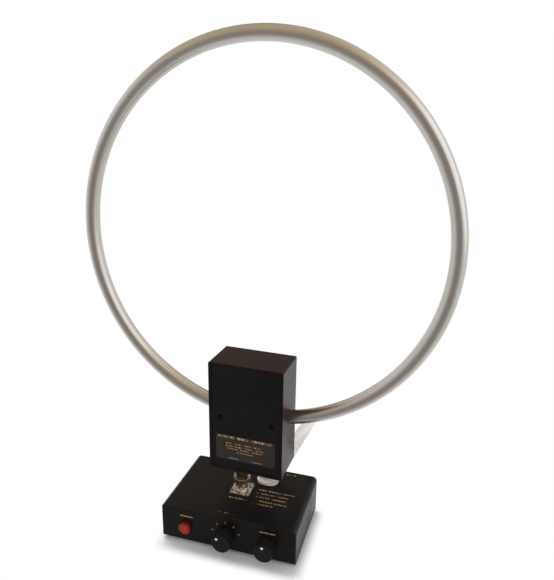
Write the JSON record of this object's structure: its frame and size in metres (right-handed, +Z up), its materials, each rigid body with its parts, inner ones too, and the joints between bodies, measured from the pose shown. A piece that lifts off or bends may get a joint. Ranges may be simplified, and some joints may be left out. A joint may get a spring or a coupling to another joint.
{
  "type": "radio loop antenna",
  "caption": "Desk-top receiving loop: a ring of tube in an amplifier head that swivels on a bayonet socket on a control box with push button and knobs.",
  "frame": {"origin": "on the table under the antenna socket's axis, which is also the middle of the base box", "axes": "+Z up along the swivel axis, -Y out of the front with the controls, +X to the right of it"},
  "size_m": [0.3048, 0.0992, 0.406],
  "materials": {
    "black_paint": "semi-gloss black",
    "black_plastic": "satin moulded black",
    "label": "dark grey label",
    "tube_metal": "satin drawn tube",
    "nickel": "bright nickel",
    "steel": "plated steel",
    "dark_steel": "blackened steel",
    "brass": "gold flash",
    "insulator": "white",
    "clamp_plastic": "natural",
    "board": "green solder mask",
    "board_parts": "grey",
    "control_body": "zinc",
    "switch_plastic": "black",
    "wire": "red",
    "rubber": "black",
    "red_plastic": "red",
    "stem_plastic": "white",
    "knob_plastic": "black",
    "pointer": "white",
    "clear_plastic": "clear"
  },
  "bodies": {
    "base": {"base_chassis": "black_paint", "base_cover": "black_paint", "cover_screws": "dark_steel", "rubber_feet": "rubber", "antenna_socket": "nickel", "socket_screws": "steel", "socket_insulator": "insulator", "socket_contact": "brass", "circuit_board": "board", "board_pillars": "brass", "board_screws": "steel", "board_parts": "board_parts", "aerial_lead": "wire", "power_switch": "switch_plastic", "band_switch": "control_body", "tuning_control": "control_body", "control_nuts": "steel", "receiver_socket": "nickel", "receiver_insulator": "insulator", "receiver_contact": "brass", "power_jack": "switch_plastic", "power_jack_pin": "brass", "rear_nuts": "steel"},
    "power_button": {"button_cap": "red_plastic", "button_stem": "stem_plastic"},
    "band_selector": {"band_knob": "knob_plastic", "band_shaft": "steel", "band_pointer": "pointer", "band_grub_screw": "dark_steel"},
    "tuning_selector": {"tuning_knob": "knob_plastic", "tuning_shaft": "steel", "tuning_pointer": "pointer", "tuning_grub_screw": "dark_steel"},
    "bayonet_nut": {"coupling_nut": "nickel"},
    "head": {"head_case": "black_plastic", "head_lid": "black_plastic", "lid_screws": "dark_steel", "label_plate": "label", "loop_tube": "tube_metal", "tube_bushes": "black_plastic", "loop_clamps": "clamp_plastic", "clamp_screws": "steel", "loop_leads": "wire", "head_board": "board", "head_board_screws": "steel", "head_board_parts": "board_parts", "plug_body": "dark_steel", "plug_insulator": "insulator", "plug_pin": "brass", "plug_nut": "steel", "plug_lead": "wire", "clear_stay": "clear_plastic", "stay_screws": "steel"}
  },
  "joints": [
    {"name": "head_swivel", "type": "hinge", "parent": "base", "child": "head", "pos_m": [0, 0, 0.05], "axis": [0, 0, 1], "continuous": true},
    {"name": "nut_turn", "type": "hinge", "parent": "base", "child": "bayonet_nut", "pos_m": [0, 0, 0.05], "axis": [0, 0, 1], "range_deg": [0, 80]},
    {"name": "band_select", "type": "hinge", "parent": "base", "child": "band_selector", "pos_m": [-0.001, -0.0375, 0.0162], "axis": [0, 1, 0], "range_deg": [-37, 111]},
    {"name": "tuning_turn", "type": "hinge", "parent": "base", "child": "tuning_selector", "pos_m": [0.0345, -0.0375, 0.0162], "axis": [0, 1, 0], "range_deg": [-142, 158]},
    {"name": "power_push", "type": "slide", "parent": "base", "child": "power_button", "axis": [0, 1, 0], "range_m": [0, 0.003], "stiffness_N_per_m": 300}
  ]
}
